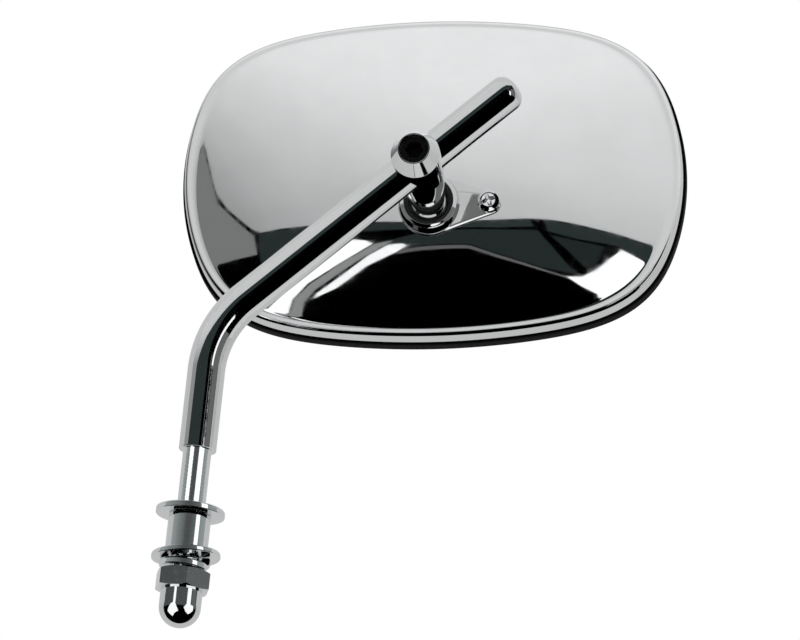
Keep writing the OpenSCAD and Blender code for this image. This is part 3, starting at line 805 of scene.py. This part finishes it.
def chrome_build(tone, rough, wave=0.0):
    def build(nodes, links, shader):
        shader.inputs["Metallic"].default_value = 1
        low = tuple(c * 0.965 for c in tone)
        links.new(ramp(nodes, links, noise(nodes, links, 9), low, tone), shader.inputs["Base Color"])
        haze = ramp(nodes, links, noise(nodes, links, 2.2, 6), rough * 0.6, rough * 1.5)
        links.new(haze, shader.inputs["Roughness"])
        if wave:
            bump(nodes, links, noise(nodes, links, 5, 1), shader, wave)

    return build


PLATE = (0.80, 0.815, 0.82)
CHROME = material("chrome_plate", chrome_build(PLATE, 0.035, 0.0012))
BRIGHT = material("chrome_turned", chrome_build(PLATE, 0.06, 0.002))
ZINC = material("zinc_plate", chrome_build((0.62, 0.63, 0.62), 0.24, 0.004))
MIRROR = material("silvered_glass", chrome_build((0.80, 0.84, 0.86), 0.012))


def plain_build(low, high, rough_low, rough_high, scale, height, shine=0.5):
    def build(nodes, links, shader):
        shader.inputs["Specular IOR Level"].default_value = shine
        grain = noise(nodes, links, scale, 5)
        links.new(ramp(nodes, links, grain, low, high), shader.inputs["Base Color"])
        haze = ramp(nodes, links, noise(nodes, links, scale * 3), rough_low, rough_high)
        links.new(haze, shader.inputs["Roughness"])
        bump(nodes, links, grain, shader, height, 0.5)

    return build


RUBBER = material("black_rubber", plain_build(0.002, 0.005, 0.5, 0.65, 0.25, 0.02, 0.03))
BLACK_STEEL = material("black_oxide", plain_build(0.003, 0.006, 0.2, 0.32, 0.3, 0.01))
NYLON = material("moulded_nylon", plain_build(0.03, 0.045, 0.1, 0.18, 0.4, 0.004))
FELT = material("pressed_felt", plain_build((0.05, 0.05, 0.048), (0.12, 0.12, 0.115), 0.85, 0.98, 0.15, 0.08))


def dress(piece, body, node, look):
    piece.data.materials.clear()
    piece.data.materials.append(look)
    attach(piece, body)
    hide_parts(node)
    return piece


rod = dress(stem_rod(), "stem", "stem", CHROME)
rod.visible_glossy = False
stud = dress(stem_stud(), "stem", "stem", BRIGHT)
upper_ring = dress(
    washer("upper_washer_ring", UPPER_WASHER_TOP, UPPER_WASHER_T),
    "stem",
    "upper_washer",
    BRIGHT,
)
sleeve = dress(spacer_sleeve(), "stem", "spacer_sleeve", BRIGHT)
lower_ring = dress(
    washer("lower_washer_ring", LOWER_WASHER_TOP, LOWER_WASHER_T, LOWER_WASHER_LEAN),
    "stem",
    "lower_washer",
    BRIGHT,
)
coil = dress(lock_washer(), "stem", "lock_washer", BRIGHT)
nut = dress(acorn_nut(), "stem", "acorn_nut", BRIGHT)
post = dress(clamp_post(), "post", "post", CHROME)
dress(set_screw(), "post", "set_screw", BLACK_STEEL)
cover = dress(swivel_cover(), "head", "swivel_cover", CHROME)
screw = dress(clamp_screw(), "head", "clamp_screw", BRIGHT)
shell = dress(back_shell(), "head", "back_shell", CHROME)
dress(mirror_glass(), "head", "mirror_glass", MIRROR)
dress(rim_gasket(), "head", "rim_gasket", RUBBER)
for node, look in {
    "upper_ball_seat": NYLON,
    "lower_ball_seat": NYLON,
    "socket_cup": ZINC,
    "clamp_plate": ZINC,
    "clamp_lock_washer": ZINC,
    "clamp_nut": ZINC,
    "glass_pad": FELT,
}.items():
    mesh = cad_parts[node].data
    if not mesh.materials:
        mesh.materials.append(look)
    for i in range(len(mesh.materials)):
        mesh.materials[i] = look


CAMERA_TURN = math.radians(6.6)
CAMERA_RISE = math.radians(-16.2)
CAMERA_ROLL = math.radians(6.3)
CAMERA_FAR = 7400
PIXELS_PER_MM = 3.954
PICTURE_WIDTH = 800
SENSOR_WIDTH = 36
AIM_RIGHT = 47.2
AIM_UP = 38.4

right = Vector((math.cos(CAMERA_TURN), math.sin(CAMERA_TURN), 0))
towards = Vector(
    (
        math.sin(CAMERA_TURN) * math.cos(CAMERA_RISE),
        -math.cos(CAMERA_TURN) * math.cos(CAMERA_RISE),
        math.sin(CAMERA_RISE),
    )
)
up = towards.cross(right)
aim = right * AIM_RIGHT + up * AIM_UP
aim -= towards * (aim - CROSSING).dot(towards)
picture_right = right * math.cos(CAMERA_ROLL) + up * math.sin(CAMERA_ROLL)
picture_up = up * math.cos(CAMERA_ROLL) - right * math.sin(CAMERA_ROLL)
place = Matrix((picture_right, picture_up, towards)).transposed().to_4x4()
place.translation = (aim + towards * CAMERA_FAR) * MM
lens = bpy.data.cameras.new("camera")
lens.sensor_width = SENSOR_WIDTH
lens.lens = SENSOR_WIDTH * CAMERA_FAR * PIXELS_PER_MM / PICTURE_WIDTH
lens.clip_end = 100
camera = bpy.data.objects.new("camera", lens)
camera.matrix_world = place
bpy.context.scene.collection.objects.link(camera)
bpy.context.scene.camera = camera

# Studio: directions are given as (turn, rise) in degrees, the turn from -Y towards +X

scene = bpy.context.scene
scene.view_settings.view_transform = "Standard"
STUDIO_FAR = 20
CLOTH_REACH = 100
WHITE = (1, 1, 1)
SLATE = (0.8, 1.1, 1.08)
ROOM_TINT = (0.93, 1.02, 1.02)


def sky(turn, rise):
    turn, rise = math.radians(turn), math.radians(rise)
    return np.array((math.sin(turn) * math.cos(rise), -math.cos(turn) * math.cos(rise), math.sin(rise)))


def light(grey):
    """Light that chrome shows as a grey of 0 to 255."""
    return (max(grey, 0) / 255) ** 2.25 / 0.81


def stand(name, points, faces, look, receivers=None):
    """Studio card that only reflections see, and only those of its receivers."""
    mesh = bpy.data.meshes.new(name)
    mesh.from_pydata([tuple(p) for p in points], [], faces)
    mesh.materials.append(look)
    made = bpy.data.objects.new(name, mesh)
    made.location = CROSSING * MM
    scene.collection.objects.link(made)
    made.visible_camera = False
    made.visible_diffuse = False
    made.visible_shadow = False
    if receivers:
        made.light_linking.receiver_collection = receivers
    return made


def stops(nodes, links, value, pairs):
    """Greys between any number of (value, grey) stops."""
    made = nodes.new("ShaderNodeValToRGB")
    elements = made.color_ramp.elements
    while len(elements) < len(pairs):
        elements.new(0.5)
    for element, (at, grey) in zip(elements, pairs):
        element.position = at
        element.color = (grey, grey, grey, 1)
    links.new(value, made.inputs["Fac"])
    return made.outputs["Color"]


def glow(name, strength, tint):
    """Look that shines and lets what lies behind it through; its strength is a number or varies over it."""
    made = bpy.data.materials.new(name)
    made.use_nodes = True
    made.cycles.emission_sampling = "NONE"
    nodes, links = made.node_tree.nodes, made.node_tree.links
    nodes.remove(nodes["Principled BSDF"])
    kinds = ("Emission", "BsdfTransparent", "AddShader")
    shine, through, both = (nodes.new("ShaderNode" + kind) for kind in kinds)
    if callable(strength):
        links.new(strength(nodes, links), shine.inputs["Strength"])
        strength = 1
    shine.inputs["Color"].default_value = (*(strength * c for c in tint), 1)
    links.new(shine.outputs[0], both.inputs[0])
    links.new(through.outputs[0], both.inputs[1])
    links.new(both.outputs[0], nodes["Material Output"].inputs["Surface"])
    return made


def card(name, corners, grey, receivers, tint=WHITE):
    points = [sky(*corner) * STUDIO_FAR for corner in corners]
    return stand(name, points, [list(range(len(points)))], glow(name, light(grey), tint), receivers)


def level_line(rise, first=-110, last=110):
    return [(first, rise), (last, rise)]


def band(name, low, high, strength, receivers, tint=WHITE):
    """Card between two lines of (turn, rise), kept off the side that the cloth leaves open."""
    step, rows = 2.0, 24
    first, last = max(low[0][0], high[0][0]), min(low[-1][0], high[-1][0])
    across = np.linspace(first, last, int((last - first) / step) + 1)
    bottom = np.interp(across, *np.array(low, float).T)
    top = np.interp(across, *np.array(high, float).T)
    points = [
        sky(turn, a + (b - a) * k / rows) * STUDIO_FAR
        for k in range(rows + 1)
        for turn, a, b in zip(across, bottom, top)
    ]
    count = len(across)
    faces = [
        (k * count + i, k * count + i + 1, (k + 1) * count + i + 1, (k + 1) * count + i)
        for k in range(rows)
        for i in range(count - 1)
    ]
    edge = math.cos(math.radians(CLOTH_REACH)) * STUDIO_FAR
    faces = [f for f in faces if np.mean([points[i] for i in f], 0) @ np.array(towards) > edge]
    return stand(name, points, faces, glow(name, strength, tint), receivers)


def collect(name, *pieces):
    made = bpy.data.collections.new(name)
    for piece in pieces:
        made.objects.link(piece)
    return made


HEAD_SET = collect("head_set", shell)
COVER_SET = collect("cover_set", cover)
SCREW_SET = collect("screw_set", screw)
EDGE_SET = collect("edge_set", cover, screw)
ROD_SET = collect("rod_set", rod, post)
STUD_SET = collect("stud_set", stud)
NUT_SET = collect("nut_set", nut)
ROOM_SET = collect("room_set", stud, sleeve, upper_ring, lower_ring, coil)
LEFT_SET = collect("left_set", stud, nut)
HARDWARE_SET = collect("hardware_set", stud, sleeve, upper_ring, lower_ring, coil, nut)


def black_cloth():
    """Black cloth round the camera, which leaves the light edges of the chrome."""
    cloth = bpy.data.materials.new("black_cloth")
    cloth.use_nodes = True
    shader = cloth.node_tree.nodes["Principled BSDF"]
    shader.inputs["Base Color"].default_value = (0, 0, 0, 1)
    shader.inputs["Specular IOR Level"].default_value = 0
    far, around, rings = STUDIO_FAR + 1, 72, 24
    middle, side = np.array(towards), np.array(right)
    over = np.cross(middle, side)
    points = [middle * far]
    for k in range(1, rings + 1):
        away = math.radians(CLOTH_REACH * k / rings)
        for i in range(around):
            t = 2 * math.pi * i / around
            sideways = math.cos(t) * side + math.sin(t) * over
            points.append(far * (math.cos(away) * middle + math.sin(away) * sideways))
    faces = [(0, 1 + i, 1 + (i + 1) % around) for i in range(around)]
    for k in range(rings - 1):
        a, b = 1 + k * around, 1 + (k + 1) * around
        faces += [(a + i, b + i, b + (i + 1) % around, a + (i + 1) % around) for i in range(around)]
    stand("black_cloth", points, faces, cloth)


black_cloth()

# Head: a pale sky over a low horizon, dark windows and white cards under it


def head_sky(nodes, links):
    """Sky that pales upward and darkens to the left."""

    def maths(operation, a, b):
        made = nodes.new("ShaderNodeMath")
        made.operation = operation
        for socket, value in zip(made.inputs, (a, b)):
            if isinstance(value, float):
                socket.default_value = value
            else:
                links.new(value, socket)
        return made.outputs[0]

    height = maths("MULTIPLY", coordinate(nodes, links, "Z"), 1.0 / STUDIO_FAR)
    greys = ((0.0, 188), (0.09, 190), (0.17, 196), (0.26, 204), (0.35, 209))
    greys += ((0.5, 216), (0.65, 223), (0.78, 228), (1.0, 230))
    rising = stops(nodes, links, height, [(at, light(grey)) for at, grey in greys])
    leftward = maths("MULTIPLY", coordinate(nodes, links, "X"), -1.0 / STUDIO_FAR)
    leftward = maths("SUBTRACT", leftward, maths("MULTIPLY", height, 0.5))
    leftward = maths("ADD", maths("MULTIPLY", leftward, 0.667), 0.333)
    shares = ((-0.45, 1.0), (-0.25, 1.0), (0.1, 0.93), (0.37, 0.84))
    shares += ((0.48, 0.72), (0.53, 0.62), (0.66, 0.42), (0.85, 0.32))
    falling = stops(nodes, links, leftward, [((u + 0.5) / 1.5, share) for u, share in shares])
    return maths("MULTIPLY", rising, falling)


HORIZON = [
    (-110, -35), (-72, -30), (-64, 30), (-50.9, 23.8), (-47, 20), (-43.4, 13.7), (-41.5, 9.6),
    (-37.7, 6.1), (-32.5, 1.1), (-28, 0.5), (-20.6, -1.6), (-15.8, -3.1), (-11, -4.4), (-8, -5.4),
    (-4, -5.8), (1.3, -4.4), (5.6, -2.1), (10, 0.6), (13.7, 2.3), (17.6, 3.3), (24.6, 4.5),
    (32, 4.9), (58, 6), (66, -30), (110, -35),
]
band("head_sky", HORIZON, level_line(89), head_sky, HEAD_SET)
HEAD_CARDS = (
    ("head_left_grey", 118, WHITE, [
        (-50.9, 23.4), (-47.1, 19.6), (-43.4, 13.3), (-41.7, 9.2), (-38.1, 5.7), (-33.1, 0.7),
        (-30.6, -5), (-35.4, -4.2), (-41.2, -3.8), (-46, 2.4), (-58, 8), (-60, 24),
    ]),
    ("head_slate_left", 48, SLATE, [
        (-32.2, 0.8), (-24.2, -0.7), (-15.8, -3.4), (-7.9, -5.7), (-4.3, -6.4),
        (-4, -9.1), (-11.9, -7.1), (-16.3, -6.3), (-20.5, -12.3), (-29.1, -7.7),
    ]),
    ("head_slate_strip", 52, SLATE, [
        (-4.3, -6.3), (1.3, -4.7), (5.6, -2.4), (10.2, 0.4),
        (10.6, -1.7), (5.4, -5), (-0.8, -7.8), (-3.9, -9.3),
    ]),
    ("head_slate_middle", 46, SLATE, [
        (-3.9, -10), (-0.8, -8.6), (5.4, -5.7), (11.1, -2.7), (12.8, -7.6), (14.5, -12.7), (16.2, -15.4),
        (10.3, -16.6), (4.6, -15), (1, -13.3), (-3, -14.6), (-5.7, -15.4), (-9.2, -12.4),
    ]),
    ("head_slate_right", 50, SLATE, [
        (12.4, 1.5), (17.6, 2.9), (24.6, 4.1), (31.8, 4.4), (29.8, -1.2),
        (25.2, 0.9), (22.4, 0.3), (17, -1.7), (12.5, -2.1),
    ]),
    ("head_slate_under", 42, SLATE, [
        (12.8, -3.2), (16.9, -2.3), (21.7, -1), (19.5, -7.4), (17.1, -11.4), (14.9, -6.7),
    ]),
    ("head_window_left", 262, WHITE, [
        (-22.6, -32.6), (-22.8, -28.3), (-18.9, -18), (-14.9, -9.1), (-13.9, -9), (-11.8, -10.3),
        (-10.4, -11.9), (-13.6, -16.3), (-17.2, -21.4), (-18.3, -26.6), (-17.3, -36.3),
    ]),
    ("head_band_left", 135, WHITE, [
        (-16.9, -36.3), (-17.9, -26.6), (-16.7, -21.9), (-13.2, -16.3), (-10, -12.1), (-7.6, -12),
        (-8.3, -13.1), (-10.8, -16.6), (-12.2, -19.1), (-15.2, -24.9), (-15.8, -29.2), (-14.7, -37.8),
    ]),
    ("head_streak", 250, WHITE, [
        (-14.6, -28.6), (-11.8, -26.2), (-9.3, -20), (-6.3, -16.6), (-5.2, -14.5),
        (-5.9, -13.6), (-7.9, -13.3), (-10.1, -16.2), (-12.5, -22.1), (-14.6, -26.6),
    ]),
    ("head_window_right", 262, WHITE, [
        (13.7, -17.7), (16.2, -15.7), (19.1, -10.6), (21.8, -5.1), (24.9, 0.1), (27.8, -0.5), (30.2, -1.2),
        (26.8, -8.5), (22.9, -16.5), (19.6, -23.6), (18.3, -25.7), (18.2, -21.8), (15.7, -20.2),
    ]),
    ("head_line_under", 96, WHITE, [
        (-9, -13), (-5.7, -15.9), (-3, -15.1), (1, -13.8), (4.6, -15.5), (10.3, -17.1), (14, -17.7),
        (14, -18.3), (10.2, -18), (4.5, -16.7), (1, -15), (-3, -16.4), (-5.8, -17.2),
    ]),
)
for name, grey, tint, corners in HEAD_CARDS:
    card(name, corners, grey, HEAD_SET, tint)

# Rods: a pale sky far over and to the left, a grey card to the right, and slate between


def side_fade(first, last, near, far):
    """Strength that changes with the height on a card."""

    def build(nodes, links):
        height = coordinate(nodes, links, "Z")
        return spread(nodes, links, height, first * STUDIO_FAR, last * STUDIO_FAR, near, far, True)

    return build


ROD_EDGE = [(-110, -30), (-72, -30), (-63, 14), (-40, 24), (-19, 25), (-2, 37), (20, 52), (110, 60)]
ROD_DARK = [(-72, -34), (-60, 0), (-23, 5), (-4, 8), (20, 22), (60, 40)]
band("rod_sky", ROD_EDGE, level_line(89), side_fade(0.2, 0.5, light(126), light(197)), ROD_SET)
band("rod_slate", ROD_DARK, ROD_EDGE, light(52), ROD_SET, SLATE)
card("rod_right_grey", [(47, -5), (79, -10), (79, 34), (47, 30)], 100, ROD_SET)
band("rod_right", level_line(-8, 81, 108), level_line(60, 81, 108), light(172), ROD_SET)
band("rod_right_low", level_line(-75, 84, 122), level_line(-8, 84, 122), light(196), ROD_SET)
card("rod_line", [(26.2, 12), (28.4, 12), (28.4, 30), (26.2, 30)], 120, ROD_SET)
card("rod_window", [(34, -10), (46, -14), (45, 15.6), (35, 15.6)], 255, ROD_SET)
band("rod_floor", level_line(-89, -180, 180), level_line(-52, -180, 180), light(196), ROD_SET)

# Swivel cover and its screw: a grey sky that pales higher up, and a white floor for their lower edges

COVER_LIGHT = [(-30, -14), (-1.5, -14), (0.1, -5), (0.7, -2), (0.95, 0.2)]
COVER_LIGHT += [(1.4, 2.5), (1.8, 4.9), (2, 5.4), (-30, 5.4)]
band("cover_sky", level_line(-34), level_line(89), side_fade(0.082, 0.112, light(106), light(190)), COVER_SET)
band("cover_floor", level_line(-89, 12, 180), level_line(-44, 12, 180), light(245), EDGE_SET)
card("cover_light", COVER_LIGHT, 160, COVER_SET)
card("screw_top", [(-20, 4), (6, 4), (10, 36), (-24, 36)], 215, SCREW_SET)

# Stud and its hardware: tall white cards in a slate room that pales to the sides


def side_tones(nodes, links):
    across = spread(nodes, links, coordinate(nodes, links, "X"), -STUDIO_FAR, STUDIO_FAR)
    greys = ((0.0, 150), (0.1, 126), (0.27, 106), (0.42, 80), (0.55, 76), (0.72, 90), (0.88, 110), (1.0, 150))
    return stops(nodes, links, across, [(at, light(grey)) for at, grey in greys])


NUT_LEFT = [(-40, 8), (-21, 8), (-12, -12), (-1, -34), (-30, -46), (-60, -58), (-72, -26), (-52, -4)]
NUT_RIGHT = [(42, 8), (64, 8), (82, 6), (88, -12), (72, -38), (45, -32), (28, -13), (36, 0)]
band("room", level_line(-4), level_line(60), side_tones, ROOM_SET, ROOM_TINT)
band("nut_room", level_line(-2), level_line(60), light(76), NUT_SET, ROOM_TINT)
card("window_left", [(-34, 8), (-21, 8), (-20, 40), (-33, 40)], 248, LEFT_SET)
card("window_right", [(42, 8), (64, 8), (65, 40), (41, 40)], 250, HARDWARE_SET)
card("stud_left", [(-52, -20), (-34, -20), (-33, 40), (-54, 40)], 245, STUD_SET)
card("stud_right", [(23, -20), (42, -20), (41, 40), (21, 40)], 250, STUD_SET)
card("nut_side", [(70, 4), (96, 4), (96, 34), (70, 34)], 62, NUT_SET)
card("nut_left", NUT_LEFT, 252, NUT_SET)
card("nut_right", NUT_RIGHT, 252, NUT_SET)

# World and floor

world = bpy.data.worlds.new("studio")
scene.world = world
world.use_nodes = True
nodes, links = world.node_tree.nodes, world.node_tree.links
nodes["Background"].inputs["Color"].default_value = (1, 1, 1, 1)
path = nodes.new("ShaderNodeLightPath")
reflected = stops(
    nodes,
    links,
    spread(nodes, links, coordinate(nodes, links, "Z", "Generated"), -1, 1),
    ((0.0, 0.62), (0.2, 0.6), (0.36, 0.6), (0.5, 0.56), (0.64, 0.6), (0.8, 0.64), (1.0, 0.66)),
)


def choose(ray, level, other):
    """Strength that one kind of ray sees, or another one."""
    mix = nodes.new("ShaderNodeMix")
    mix.data_type = "FLOAT"
    links.new(path.outputs[ray], mix.inputs["Factor"])
    for socket, value in (("B", level), ("A", other)):
        if isinstance(value, float):
            mix.inputs[socket].default_value = value
        else:
            links.new(value, mix.inputs[socket])
    return mix.outputs["Result"]


seen = choose("Is Glossy Ray", reflected, 0.9)
seen = choose("Is Transmission Ray", 1.0, seen)
seen = choose("Is Camera Ray", 1.0, seen)
links.new(seen, nodes["Background"].inputs["Strength"])

paint = material("pale_floor", plain_build(0.78, 0.82, 0.8, 0.9, 40, 0.2))
nodes, links = paint.node_tree.nodes, paint.node_tree.links
kinds = ("NewGeometry", "BsdfTransparent", "MixShader")
under, clear, sheet = (nodes.new("ShaderNode" + kind) for kind in kinds)
links.new(under.outputs["Backfacing"], sheet.inputs["Fac"])
links.new(nodes["Principled BSDF"].outputs[0], sheet.inputs[1])
links.new(clear.outputs[0], sheet.inputs[2])
links.new(sheet.outputs[0], nodes["Material Output"].inputs["Surface"])
bpy.ops.mesh.primitive_plane_add(size=60, location=(0, 0, -5.5))
floor = bpy.context.object
floor.name = "floor"
floor.data.materials.append(paint)
floor.visible_glossy = False

bpy.context.view_layer.update()
